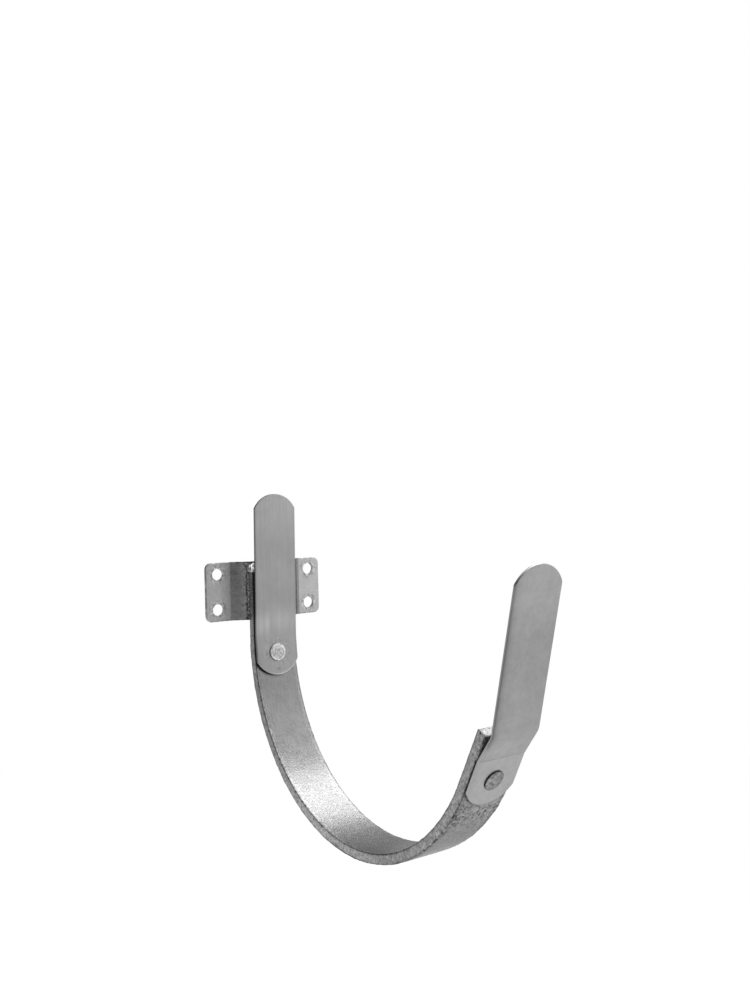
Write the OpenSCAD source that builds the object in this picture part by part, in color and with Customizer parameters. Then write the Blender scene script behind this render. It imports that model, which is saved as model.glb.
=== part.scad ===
// Gutter bracket: a flat bar bent to a half-round bed, welded to a joggled
// wall plate, with a sheet tongue riveted to each end of the bar.
// Origin: centre of the four wall holes, on the wall plane.
// +X along the wall, +Y into the wall, +Z up. Millimetres.

/* [Strap] */
// Width of the flat bar, along the wall
bar_w = 30; // [28:0.5:36]
// Thickness of the flat bar
bar_t = 6; // [5:0.5:8]
// Inner radius of the half-round bed
bed_r = 104; // [90:0.5:125]
// Angle the bed turns through, from the upright to the front run
bed_angle = 152.3; // [148:0.1:156]
// Depth of the bed centre below the wall holes
bed_drop = 30; // [26:0.5:36]
// Depth of the upright's cut end below the plate's upper edge
upright_below = 6.75; // [6:0.25:9]
// Straight run at the front end of the bar
front_run = 30.5; // [28:0.5:36]

/* [Wall plate] */
// Thickness of the plate sheet
plate_t = 2; // [1.5:0.25:3]
// Length of the plate along the wall
plate_w = 84; // [80:0.5:100]
// Height of the plate
plate_h = 37.5; // [36:0.5:44]
// Corner radius of the flanges
plate_corner_r = 4; // [2:0.5:5]
// Clear space between the crown and the wall
crown_rise = 6; // [4:0.5:8]
// Slope of the webs between the crown and the flanges
web_angle = 34; // [28:1:45]
// Inner radius of the plate's bends
plate_bend_r = 1.5; // [1:0.25:2]
// Diameter of the wall holes
hole_d = 7.25; // [6:0.25:9]
// Hole spacing along the wall
hole_dx = 67; // [66:0.5:74]
// Hole spacing up the wall
hole_dz = 22.5; // [21:0.5:24]

/* [Tongues] */
// How much narrower than the bar the tongues are
tongue_less_w = 0.5; // [0:0.5:2]
// Thickness of the tongue sheet
tongue_t = 1.5; // [1:0.25:2]
// How much the radius of the rounded ends exceeds half a tongue's width
tongue_end_more = 1.65; // [1:0.05:3]
// Height of the rear tongue above its bend
rear_upper = 88.5; // [60:0.5:110]
// Forward lean of the rear tongue's upper run
rear_lean = 1.4; // [0:0.1:3]
// Inner radius of the rear tongue's soft bend
rear_bend_r = 60; // [30:1:80]
// Length of the front tongue above its upper bend
front_upper = 79.3; // [50:0.5:95]
// Forward lean of the front tongue's upper run
front_lean = 14; // [8:0.5:18]
// Length of the front tongue from its lower end to the crease
front_lower = 27.7; // [24:0.5:32]
// Turn of the crease, away from the bar
crease_angle = 10; // [6:0.5:14]
// Inner radius of the crease
crease_r = 1; // [0.5:0.25:3]
// Length of the joggle between the two bends
joggle_run = 14.2; // [10:0.2:20]
// Inner radius of the front tongue's upper bend
front_bend_r = 8; // [4:0.5:12]

/* [Rivets] */
// Diameter of the rivet shanks
shank_d = 6; // [5:0.5:7]
// Diametral play of the shanks in their holes
shank_play = 0.1; // [0.05:0.05:0.3]
// Diameter of the formed heads
head_d = 11.4; // [10:0.2:13]
// Height of the formed heads
head_h = 2; // [1.5:0.1:3]
// Height of a head's upright rim
head_rim = 0.7; // [0.4:0.1:1]
// Diameter of the heads on the far side of the bar
tail_d = 9; // [8:0.2:10]
// Height of the heads on the far side of the bar
tail_h = 1.8; // [1.4:0.1:2.6]
// Angle of the rear rivet below the bed centre's level
rear_rivet_angle = 5.5; // [5:0.1:7]
// Length of the rear tongue below its rivet
rear_tail = 14.3; // [12:0.1:16]
// Height of the front rivet up the front run
front_rivet_up = 3; // [3:0.1:8]
// Length of the front tongue below the start of the front run
front_tail = 11.5; // [9:0.5:13]

/* [Weld] */
// Leg of the weld bead across the top of the bar
weld_leg = 6; // [4:0.5:6]

/* [Hidden] */
$fn = 96;
// Distance from the wall to the bed centre
bed_y = bed_r + bar_t + plate_t + crown_rise;
// Outer radius of the bar in the bed
back_r = bed_r + bar_t;
// Height of the upright's cut end above the wall holes
upright_top = plate_h / 2 - upright_below;
// Lean of the front run from the vertical
front_run_lean = 180 - bed_angle;
// Width of both tongues
tongue_w = bar_w - tongue_less_w;
// Radius of the tongues' rounded ends
tongue_end_r = tongue_w / 2 + tongue_end_more;
// Length of a web between its two bends
bend_sum = 2 * plate_bend_r + plate_t;
web_run = (crown_rise - bend_sum * (1 - cos(web_angle))) / sin(web_angle);
// Play that keeps the rear tongue's lower tip just off the bed
seat_play = 0.05;
// Rear tongue's back face, measured from the bed centre along the rivet
rear_seat = sqrt(bed_r * bed_r - rear_tail * rear_tail) - seat_play;
// Length of the rear tongue from its lower end to its soft bend
rear_lower = rear_tail + head_d / 2;
// Turns of the bends, positive towards the front of a sheet
rear_turn = rear_rivet_angle + rear_lean;
front_turn = front_lean - front_run_lean - crease_angle;
// Rise of the bed under the part of the front rivet's far head that lies past the front run
tail_past = max(0, tail_d / 2 - front_rivet_up);
tail_lift = bed_r - sqrt(bed_r * bed_r - tail_past * tail_past);
// Run in behind each bend, so that plane and curve cross instead of only touching
blend = 0.002;
// Surplus that a rounded end or an outline trims away
spare = 1;

// Sub-part to show

// Frame at the bed centre
module in_bed() {
  translate([0, -bed_y, -bed_drop])
    children();
}

// Frame on the rear rivet: +Y out through the bar, +Z up the tongue
module at_rear_rivet() {
  in_bed()
    rotate([-rear_rivet_angle, 0, 0])
      children();
}

// Frame on the front run: -Y out through the bar, +Z up the run
module at_front_run() {
  in_bed()
    rotate([front_run_lean, 0, 0])
      children();
}

// Sweeps a side profile, x = depth and y = height, across the bracket
module across(w) {
  rotate([90, 0, 90])
    linear_extrude(w, center = true)
      children();
}

// How far a run reaches back into the bend before it, on the bend's inner and outer side
function inner_lap(r) = 1.5 * sqrt(2 * r * blend);
function outer_lap(r) = 0.5 * sqrt(2 * r * blend);

// Side of a straight run along +y, its back at x = 0, with a tail on each face
module run_side(t, run, front_tail = 0, back_tail = 0) {
  polygon([[-t, -front_tail], [0, -back_tail], [0, run], [-t, run]]);
}

// Side of a straight run that follows a bend
module run_after(t, run, inner_r, turn) {
  in_lap = inner_lap(inner_r);
  out_lap = outer_lap(inner_r + t);
  run_side(t, run, turn > 0 ? in_lap : out_lap, turn > 0 ? out_lap : in_lap);
}

// Side of a bend that starts at y = 0 and turns to -x, its centre at the origin
module bend_side(t, inner_r, turn) {
  outer_r = inner_r + t;
  short = turn - 0.4 * acos(1 - blend / inner_r);
  long = turn + 1.6 * acos(1 - blend / outer_r);
  near_r = 0.8 * inner_r;
  far_r = 1.5 * outer_r;
  intersection() {
    difference() {
      circle(r = outer_r);
      circle(r = inner_r);
    }
    polygon([
      [near_r, 0],
      [far_r, 0],
      [far_r * cos(long), far_r * sin(long)],
      [near_r * cos(short), near_r * sin(short)]
    ]);
  }
}

// Side of a bend, then what follows it. A positive turn leans to -x.
module bend_then(t, inner_r, turn) {
  front = turn > 0;
  axis_x = front ? -t - inner_r : inner_r;
  translate([axis_x, 0])
    mirror([front ? 0 : 1, 0])
      bend_side(t, inner_r, abs(turn));
  translate([axis_x, 0])
    rotate(turn)
      translate([-axis_x + (front ? -blend : blend), 0])
        children();
}

// The same turn as bend_then makes, for a solid that stands along +Z
module turned(t, inner_r, turn) {
  axis_y = turn > 0 ? -t - inner_r : inner_r;
  translate([0, axis_y, 0])
    rotate([turn, 0, 0])
      translate([0, -axis_y, 0])
        children();
}

// Side of the strap, its bed centred on the origin
module strap_side() {
  short = bed_angle - 0.4 * acos(1 - blend / bed_r);
  long = bed_angle + 1.6 * acos(1 - blend / back_r);
  near_r = 0.9 * bed_r;
  far_r = 1.2 * back_r;
  difference() {
    circle(r = back_r);
    circle(r = bed_r);
    polygon([
      [near_r * cos(short), -near_r * sin(short)],
      [far_r * cos(long), -far_r * sin(long)],
      [-2 * far_r, 2 * far_r],
      [2 * far_r, 2 * far_r],
      [2 * far_r, 0],
      [near_r, 0]
    ]);
  }
  translate([bed_r, 0])
    square([bar_t, bed_drop + upright_top]);
  rotate(front_run_lean)
    translate([blend - bed_r, 0])
      run_side(bar_t, front_run, outer_lap(back_r), inner_lap(bed_r));
}

// Side of the rear tongue, from its lower end up
module rear_tongue_side() {
  run_side(tongue_t, rear_lower, spare, spare);
  translate([0, rear_lower])
    bend_then(tongue_t, rear_bend_r, rear_turn)
      run_after(tongue_t, rear_upper + spare, rear_bend_r, rear_turn);
}

// Side of the front tongue, from its lower end up
module front_tongue_side() {
  run_side(tongue_t, front_lower, spare, spare);
  translate([0, front_lower])
    bend_then(tongue_t, crease_r, crease_angle) {
      run_after(tongue_t, joggle_run, crease_r, crease_angle);
      translate([0, joggle_run])
        bend_then(tongue_t, front_bend_r, front_turn)
          run_after(tongue_t, front_upper + spare, front_bend_r, front_turn);
    }
}

// Half of the wall plate's folded section, from the middle of the crown outwards
module half_plate_side() {
  run_side(plate_t, bar_w / 2);
  translate([0, bar_w / 2])
    bend_then(plate_t, plate_bend_r, -web_angle) {
      run_after(plate_t, web_run, plate_bend_r, -web_angle);
      translate([0, web_run])
        bend_then(plate_t, plate_bend_r, web_angle)
          run_after(plate_t, plate_w / 2, plate_bend_r, web_angle);
    }
}

// Outline of the wall plate, seen from the front
module plate_outline() {
  inset_w = plate_w - 2 * plate_corner_r;
  inset_h = plate_h - 2 * plate_corner_r;
  square([plate_w, inset_h], center = true);
  square([inset_w, plate_h], center = true);
  for (x = [-1, 1], z = [-1, 1])
    translate([x * inset_w / 2, z * inset_h / 2])
      circle(r = plate_corner_r);
}

// What is cut away to round a tongue's upper end, whose tip is at the origin
module tip_cut() {
  translate([0, 0, -tongue_end_r])
    difference() {
      translate([-tongue_w, -2 * tongue_t, 0])
        cube([2 * tongue_w, 4 * tongue_t, tongue_end_r + 2 * spare]);
      rotate([90, 0, 0])
        cylinder(r = tongue_end_r, h = 6 * tongue_t, center = true);
    }
}

// Hole for a rivet shank along Y, cut through both sheets
module shank_hole() {
  rotate([90, 0, 0])
    cylinder(d = shank_d + shank_play, h = 4 * bar_t, center = true);
}

// Low domed rivet head on z = 0
module rivet_head(d, h, rim) {
  cap_h = h - rim;
  cap_r = (d * d / 4 + cap_h * cap_h) / (2 * cap_h);
  cylinder(d = d, h = rim);
  translate([0, 0, rim])
    rotate_extrude()
      intersection() {
        translate([0, cap_h - cap_r])
          circle(r = cap_r);
        square([d, cap_h]);
      }
}

// Rivet along +Z: head below z = 0, grip, then the tail head
module rivet(grip) {
  mirror([0, 0, 1])
    rivet_head(head_d, head_h, head_rim);
  cylinder(d = shank_d, h = grip);
  translate([0, 0, grip])
    rivet_head(tail_d, tail_h, head_rim);
}

module strap() {
  color([0.5, 0.51, 0.52])
    difference() {
      in_bed()
        across(bar_w)
          strap_side();
      at_rear_rivet()
        translate([0, back_r, 0])
          shank_hole();
      at_front_run()
        translate([0, -back_r, front_rivet_up])
          shank_hole();
    }
}

module wall_plate() {
  color([0.6, 0.61, 0.62])
    difference() {
      intersection() {
        translate([0, -crown_rise, 0])
          linear_extrude(2 * plate_h, center = true)
            for (side = [0, 1])
              mirror([side, 0])
                mirror([1, -1])
                  half_plate_side();
        rotate([90, 0, 0])
          linear_extrude(4 * bed_y, center = true)
            plate_outline();
      }
      for (x = [-1, 1], z = [-1, 1])
        translate([x * hole_dx / 2, 0, z * hole_dz / 2])
          rotate([90, 0, 0])
            cylinder(d = hole_d, h = 4 * plate_t, center = true);
    }
}

module rear_tongue() {
  color([0.66, 0.67, 0.68])
    at_rear_rivet()
      difference() {
        translate([0, rear_seat, -rear_tail])
          difference() {
            across(tongue_w)
              rear_tongue_side();
            mirror([0, 0, 1])
              tip_cut();
            translate([0, 0, rear_lower])
              turned(tongue_t, rear_bend_r, rear_turn)
                translate([0, 0, rear_upper])
                  tip_cut();
          }
        translate([0, rear_seat, 0])
          shank_hole();
      }
}

module front_tongue() {
  color([0.66, 0.67, 0.68])
    at_front_run()
      difference() {
        translate([0, -back_r, -front_tail])
          difference() {
            across(tongue_w)
              front_tongue_side();
            mirror([0, 0, 1])
              tip_cut();
            translate([0, 0, front_lower])
              turned(tongue_t, crease_r, crease_angle)
                translate([0, 0, joggle_run])
                  turned(tongue_t, front_bend_r, front_turn)
                    translate([0, 0, front_upper])
                      tip_cut();
          }
        translate([0, -back_r, front_rivet_up])
          shank_hole();
      }
}

module rear_rivet() {
  color([0.7, 0.71, 0.72])
    at_rear_rivet()
      translate([0, rear_seat - tongue_t, 0])
        rotate([-90, 0, 0])
          rivet(back_r - rear_seat + tongue_t);
}

module front_rivet() {
  color([0.7, 0.71, 0.72])
    at_front_run()
      translate([0, -back_r - tongue_t, front_rivet_up])
        rotate([-90, 0, 0])
          rivet(tongue_t + bar_t + blend + tail_lift);
}

module weld_bead() {
  color([0.75, 0.76, 0.77])
    translate([0, -crown_rise - plate_t, upright_top])
      rotate([0, 90, 0])
        intersection() {
          cylinder(r = weld_leg, h = bar_w, center = true);
          translate([-2 * weld_leg, -2 * weld_leg, -bar_w])
            cube([2 * weld_leg, 2 * weld_leg, 2 * bar_w]);
        }
}

strap();
wall_plate();
rear_tongue();
front_tongue();
rear_rivet();
front_rivet();
weld_bead();
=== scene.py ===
"""Gutter bracket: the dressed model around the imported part, with its camera, floor and lights."""

import math

import bmesh
import bpy
import numpy as np
from mathutils import Matrix, Vector, noise
from mathutils.geometry import delaunay_2d_cdt


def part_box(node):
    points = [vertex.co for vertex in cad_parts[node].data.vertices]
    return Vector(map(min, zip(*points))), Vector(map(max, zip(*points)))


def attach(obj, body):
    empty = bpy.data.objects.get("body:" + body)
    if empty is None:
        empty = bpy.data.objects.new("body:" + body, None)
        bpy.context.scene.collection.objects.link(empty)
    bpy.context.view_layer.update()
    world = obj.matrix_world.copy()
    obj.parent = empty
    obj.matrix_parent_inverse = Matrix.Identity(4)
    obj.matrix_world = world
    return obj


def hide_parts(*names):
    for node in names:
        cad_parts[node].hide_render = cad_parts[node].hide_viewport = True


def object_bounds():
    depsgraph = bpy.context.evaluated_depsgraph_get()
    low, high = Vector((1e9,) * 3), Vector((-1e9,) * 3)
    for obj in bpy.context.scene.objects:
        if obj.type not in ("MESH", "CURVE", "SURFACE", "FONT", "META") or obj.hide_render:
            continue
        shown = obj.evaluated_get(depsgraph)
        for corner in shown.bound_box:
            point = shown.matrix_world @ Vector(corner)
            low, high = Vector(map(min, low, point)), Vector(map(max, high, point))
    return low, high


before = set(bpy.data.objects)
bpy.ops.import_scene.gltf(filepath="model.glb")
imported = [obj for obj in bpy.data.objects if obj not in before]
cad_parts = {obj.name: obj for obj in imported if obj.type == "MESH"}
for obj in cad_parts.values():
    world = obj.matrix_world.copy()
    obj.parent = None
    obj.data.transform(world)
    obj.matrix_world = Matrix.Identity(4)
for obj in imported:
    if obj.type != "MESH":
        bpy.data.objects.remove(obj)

CAD_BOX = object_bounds()
MM = 0.001


def box_mm(node):
    """Lowest and highest corner of a CAD node, in millimetres."""
    low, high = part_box(node)
    return np.array(low) / MM, np.array(high) / MM


# ---- sizes, mm and degrees

bar_low, bar_high = box_mm("strap")
plate_low, plate_high = box_mm("wall_plate")
rear_low, rear_high = box_mm("rear_tongue")
weld_low, weld_high = box_mm("weld_bead")

BAR_W = bar_high[0] - bar_low[0]
BAR_T = 6.0
BED_R = 104.0
BACK_R = BED_R + BAR_T
BED_ANGLE = 152.3
FRONT_RUN = 30.5
BAR_END_Z = bar_high[2]
BED_Y = bar_high[1] - BACK_R
BED_Z = bar_low[2] + BACK_R
RUN_LEAN = 180 - BED_ANGLE
MIDDLE_R = BED_R + BAR_T / 2
UPRIGHT = BAR_END_Z - BED_Z
BAR_LENGTH = UPRIGHT + math.radians(BED_ANGLE) * MIDDLE_R + FRONT_RUN

PLATE_T = 2.0
PLATE_W = plate_high[0] - plate_low[0]
PLATE_H = plate_high[2] - plate_low[2]
PLATE_CORNER_R = 4.0
CROWN_RISE = 6.0
WEB_ANGLE = 34.0
PLATE_BEND_R = 1.5
BEND_RISE = (2 * PLATE_BEND_R + PLATE_T) * (1 - math.cos(math.radians(WEB_ANGLE)))
WEB_RUN = (CROWN_RISE - BEND_RISE) / math.sin(math.radians(WEB_ANGLE))
HOLE_D = 7.25
HOLE_DX = 67.0
HOLE_DZ = 22.5

TONGUE_W = rear_high[0] - rear_low[0]
TONGUE_T = 1.5
TONGUE_END_R = TONGUE_W / 2 + 1.65
TONGUE_EDGE_R = 0.3
REAR_RIVET_ANGLE = 5.5
REAR_TAIL = 14.3
REAR_LOWER = REAR_TAIL + 5.7
REAR_SEAT = math.sqrt(BED_R ** 2 - REAR_TAIL ** 2) - 0.05
REAR_UPPER = 88.5
REAR_LEAN = 1.4
REAR_BEND_R = 60.0
REAR_FOOT_S = UPRIGHT + (math.atan(REAR_TAIL / REAR_SEAT) + math.radians(REAR_RIVET_ANGLE)) * MIDDLE_R
FRONT_TAIL = 11.5
FRONT_LOWER = 27.7
FRONT_UPPER = 79.3
FRONT_LEAN = 14.0
CREASE_ANGLE = 10.0
CREASE_R = 1.0
JOGGLE_RUN = 14.2
FRONT_BEND_R = 8.0
FRONT_RIVET_UP = 3.0
FRONT_FOOT_S = BAR_LENGTH - FRONT_RUN - FRONT_TAIL

HEAD_D = 11.4
HEAD_H = 2.0
HEAD_RIM = 0.7
TAIL_D = 9.0
TAIL_H = 1.8

SKIN = 0.9            # a vertex this near to a face of the bar takes its finish
EDGE_SUPPORT = 0.3    # flat border inside a rounded edge, which keeps the face flat
POINT_GAP = 0.25      # grid points nearer than this to a wanted point make way
TOUCH = 1e-7          # points nearer than this are one


# ---- helpers

def clip(value, low=0.0, high=1.0):
    return max(low, min(high, value))


def near(value, centre, spread):
    """1 at centre, fading on both sides."""
    return math.exp(-((value - centre) / spread) ** 2)


def wave(x, y, z, size, seed):
    """Smooth noise from -1 to 1 with features of the given size in millimetres."""
    return noise.noise(Vector((x / size + seed, y / size - seed, z / size + 2 * seed)))


def turn2(points, degrees):
    """Turns 2D points about the origin."""
    a = math.radians(degrees)
    c, s = math.cos(a), math.sin(a)
    p = np.asarray(points, float)
    return np.stack([p[..., 0] * c - p[..., 1] * s, p[..., 0] * s + p[..., 1] * c], -1)


class Fold:
    """A sheet's side profile. s runs along its middle, d from the back face (0) to the front face (t).

    Steps are ("run", length) and ("bend", inner radius, turn in degrees). A positive turn leans to the front.
    """

    def __init__(self, t, steps, start=(0.0, 0.0), heading=0.0):
        self.t = t
        self.parts = []
        s, p, head = 0.0, np.array(start, float), heading
        for step in steps:
            if step[0] == "run":
                length = step[1]
                self.parts.append(("run", s, length, p, head, 0.0, 0.0))
                p = p + length * turn2([0, 1], head)
            else:
                r, turn = step[1], step[2]
                length = (r + t / 2) * math.radians(abs(turn))
                self.parts.append(("bend", s, length, p, head, r, turn))
                ahead = turn2([-1, 0], head)
                centre = p + ahead * (t + r) if turn > 0 else p - ahead * r
                p = centre + turn2(p - centre, turn)
                head += turn
            s += length
        self.length = s

    def stations(self, step, turn_step):
        """Places along s, at most step apart and in the bends at most turn_step degrees."""
        out = [0.0]
        for _, s0, length, _, _, _, turn in self.parts:
            n = max(1, math.ceil(abs(turn) / turn_step), math.ceil(length / step))
            out.extend(s0 + length * (i + 1) / n for i in range(n))
        return np.array(out)

    def place(self, s, d):
        """2D points of the side profile at s and d."""
        s, d = np.asarray(s, float), np.asarray(d, float)
        out = np.zeros(s.shape + (2,))
        for i, (kind, s0, length, p, head, r, turn) in enumerate(self.parts):
            last = i == len(self.parts) - 1
            here = (s >= s0) & ((s < s0 + length) | last) if i else (s < s0 + length)
            if not here.any():
                continue
            sh, dh = s[here] - s0, d[here]
            ahead = turn2([-1, 0], head)
            if kind == "run":
                out[here] = p + sh[:, None] * turn2([0, 1], head) + dh[:, None] * ahead
            else:
                front = turn > 0
                centre = p + ahead * (self.t + r) if front else p - ahead * r
                radius = (self.t + r - dh) if front else (r + dh)
                a = np.radians(turn) * sh / length
                base = -ahead if front else ahead
                c, q = np.cos(a), np.sin(a)
                arm = np.stack([base[0] * c - base[1] * q, base[0] * q + base[1] * c], -1)
                out[here] = centre + radius[:, None] * arm
        return out


def inset_loop(loop, amount):
    """A closed loop moved to its left by amount, with mitred corners."""
    p = np.asarray(loop, float)
    before, after = p - np.roll(p, 1, 0), np.roll(p, -1, 0) - p
    before /= np.linalg.norm(before, axis=1)[:, None]
    after /= np.linalg.norm(after, axis=1)[:, None]
    n1 = np.stack([-before[:, 1], before[:, 0]], 1)
    n2 = np.stack([-after[:, 1], after[:, 0]], 1)
    share = 1 + (n1 * n2).sum(1)
    return p + amount * (n1 + n2) / share[:, None]


def inside(points, loop):
    """Which points lie in a closed loop."""
    x, y = points[:, 0], points[:, 1]
    out = np.zeros(len(points), bool)
    for (x0, y0), (x1, y1) in zip(loop, np.roll(loop, -1, 0)):
        if y0 != y1:
            out ^= ((y0 > y) != (y1 > y)) & (x < (x1 - x0) * (y - y0) / (y1 - y0) + x0)
    return out


def in_sheet(points, loops):
    """Which points lie in the first loop and in none of the others."""
    out = inside(points, loops[0])
    for hole in loops[1:]:
        out &= ~inside(points, hole)
    return out


def clearance(points, loop):
    """Each point's distance to a closed loop."""
    best = np.full(len(points), np.inf)
    for a, b in zip(loop, np.roll(loop, -1, 0)):
        ab = b - a
        u = np.clip(((points - a) @ ab) / (ab @ ab), 0, 1)
        best = np.minimum(best, np.linalg.norm(points - a - u[:, None] * ab, axis=1))
    return best


def outward(piece):
    """Turns all faces of a closed piece outwards."""
    bm = bmesh.new()
    bm.from_mesh(piece.data)
    bmesh.ops.recalc_face_normals(bm, faces=bm.faces)
    bm.to_mesh(piece.data)
    bm.free()
    piece.data.update()


def link_piece(name, mesh):
    """A smooth shaded object in the scene for a mesh."""
    mesh.polygons.foreach_set("use_smooth", [True] * len(mesh.polygons))
    piece = bpy.data.objects.new(name, mesh)
    bpy.context.scene.collection.objects.link(piece)
    return piece


def make_mesh(name, points_mm, faces):
    """A closed piece from points in millimetres."""
    mesh = bpy.data.meshes.new(name)
    mesh.from_pydata((np.asarray(points_mm) * MM).tolist(), [], faces)
    mesh.validate()
    mesh.update()
    piece = link_piece(name, mesh)
    outward(piece)
    return piece


def tube_faces(rings, size):
    """Faces of a tube whose rings have size points each, with both its ends."""
    faces = []
    for i in range(rings - 1):
        for j in range(size):
            a, b = i * size, (i + 1) * size
            faces.append((a + j, a + (j + 1) % size, b + (j + 1) % size, b + j))
    faces.append(tuple(range(size)))
    faces.append(tuple((rings - 1) * size + j for j in reversed(range(size))))
    return faces


def point_values(piece, name, values, kind="FLOAT"):
    """Stores one value per vertex."""
    attribute = piece.data.attributes.new(name, kind, "POINT")
    field = "vector" if kind == "FLOAT_VECTOR" else "value"
    attribute.data.foreach_set(field, np.asarray(values, np.float32).ravel())


def places(piece):
    """Each vertex with its x, y, z and its own u, s, d in the flat sheet, in millimetres."""
    flat = piece.data.attributes.get("flat")
    for v in piece.data.vertices:
        own = flat.data[v.index].vector / MM if flat else (0, 0, 0)
        yield v, (*(v.co / MM), *own)


def paint(piece, name, rule, *extras):
    """Stores rule(x, y, z, u, s, d) on each vertex. Of extras, lists per vertex, it gets one value each."""
    values = [rule(*at, *(extra[v.index] for extra in extras)) for v, at in places(piece)]
    point_values(piece, name, values)


def displace(piece, shift):
    """Moves each vertex along its normal by shift(x, y, z, u, s, d), in millimetres, and never outwards."""
    normals = [v.normal.copy() for v in piece.data.vertices]
    for (v, at), n in zip(places(piece), normals):
        v.co += n * (min(0.0, shift(*at)) * MM)
    piece.data.update()


# ---- sheets

def edge_levels(t, edge_r, step, reach):
    """Inset and depth of the rings that make a rounded cut edge, from the front face round to the back."""
    rounding = [(reach, t)]
    for a in (0, 30, 60, 90):
        a = math.radians(a)
        rounding.append((edge_r * (1 - math.sin(a)), t - edge_r * (1 - math.cos(a))))
    across_edge = max(1, round((t - 2 * edge_r) / step))
    middle = [(0.0, d) for d in np.linspace(t - edge_r, edge_r, across_edge + 1)[1:-1]]
    return rounding + middle + [(i, t - d) for i, d in reversed(rounding)]


def edge_walls(loops, levels):
    """The cut edges: rings of points, their depths and rim values, the faces, and each loop's end rings."""
    flat, depth, rim, faces, ends = [], [], [], [], []
    count = 0
    for loop, rings in zip(loops, levels):
        n = len(loop)
        for inset, d in rings:
            flat.append(inset_loop(loop, inset))
            depth.append(np.full(n, d))
            rim.append(np.full(n, 1.0 if inset < TOUCH else 0.0))
        for j in range(len(rings) - 1):
            a, b = count + j * n, count + (j + 1) * n
            faces += [(a + i, b + i, b + (i + 1) % n, a + (i + 1) % n) for i in range(n)]
        ends.append((range(count, count + n), range(b, b + n)))
        count += n * len(rings)
    return flat, depth, rim, faces, ends


def face_grid(loops, stations, step, wanted):
    """Points that fill a sheet within its loops, with the wanted ones among them."""
    low, high = loops[0].min(0), loops[0].max(0)
    columns = np.linspace(low[0], high[0], max(2, int((high[0] - low[0]) / step)) + 1)
    grid = np.array([(u, s) for s in stations for u in columns])
    if len(wanted):
        wanted = np.array(wanted, float)
        gaps = np.linalg.norm(grid[:, None] - wanted[None], axis=2).min(1)
        grid = np.concatenate([grid[gaps > POINT_GAP], wanted])
    keep = in_sheet(grid, loops)
    for loop in loops:
        keep &= clearance(grid, loop) > 0.25 * step
    return grid[keep]


def fill(loops, grid):
    """Triangles over loops and grid: the points, the place of each in the loops or None, the triangles."""
    border = np.concatenate(loops)
    edges, at = [], 0
    for loop in loops:
        n = len(loop)
        edges += [(at + i, at + (i + 1) % n) for i in range(n)]
        at += n
    verts = [Vector(p) for p in np.concatenate([border, grid])]
    made, _, triangles, origin, _, _ = delaunay_2d_cdt(verts, edges, [], 0, TOUCH)
    made = np.array([tuple(v) for v in made])
    centres = np.array([made[list(tr)].mean(0) for tr in triangles])
    on_loop = [next((o for o in source if o < len(border)), None) for source in origin]
    return made, on_loop, [tr for tr, good in zip(triangles, in_sheet(centres, loops)) if good]


def sheet_piece(name, t, edge_r, outline, holes, stations, place, step=1.2, wanted=(), hole_r=0.0):
    """A sheet cut to outline and holes in its flat pattern (u, s), folded by place(u, s, d) to 3D points.

    edge_r and hole_r round the cut edges. It stores each vertex's own (u, s, d) as "flat", and 1 as "rim"
    on the cut edges.
    """
    reach = edge_r + EDGE_SUPPORT
    loops = [np.asarray(loop, float) for loop in (outline, *holes)]
    levels = [edge_levels(t, edge_r, step, reach)] + [edge_levels(t, hole_r, step, reach)] * len(holes)
    flat, depth, rim, faces, ends = edge_walls(loops, levels)
    on_edges = [pair for first, last in ends for pair in zip(first, last)]

    inner = [inset_loop(loop, reach) for loop in loops]
    made, on_loop, triangles = fill(inner, face_grid(inner, stations, step, wanted))
    count = sum(len(ring) for ring in flat)
    front_back, fresh = [], []
    for point, known in zip(made, on_loop):
        if known is None:
            front_back.append((count, count + 1))
            fresh.append(point)
            count += 2
        else:
            front_back.append(on_edges[known])
    for tr in triangles:
        faces.append(tuple(front_back[i][0] for i in tr))
        faces.append(tuple(front_back[i][1] for i in reversed(tr)))

    flat = np.concatenate([*flat, np.repeat(np.array(fresh), 2, 0)])
    depth = np.concatenate([*depth, np.tile([t, 0.0], len(fresh))])
    rim = np.concatenate([*rim, np.zeros(2 * len(fresh))])
    piece = make_mesh(name, place(flat[:, 0], flat[:, 1], depth), faces)
    point_values(piece, "flat", np.column_stack([flat, depth]) * MM, "FLOAT_VECTOR")
    point_values(piece, "rim", rim)
    return piece


def in_bed(side, turned=0.0):
    """Side-profile points, turned about the bed centre, in the part's Y and Z."""
    return turn2(side, turned) + np.array([BED_Y, BED_Z])


def across(u, side):
    """3D points from places across the part and points of its side profile."""
    return np.column_stack([u, side[:, 0], side[:, 1]])


# ---- camera

EYE = np.array([-311.1, -559.3, 51.4]) * MM
YAW, PITCH, ROLL = 35.813, -0.421, -1.518
LENS_PX, LONG_SIDE_PX, SENSOR = 968.6, 1000, 36.0


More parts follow.
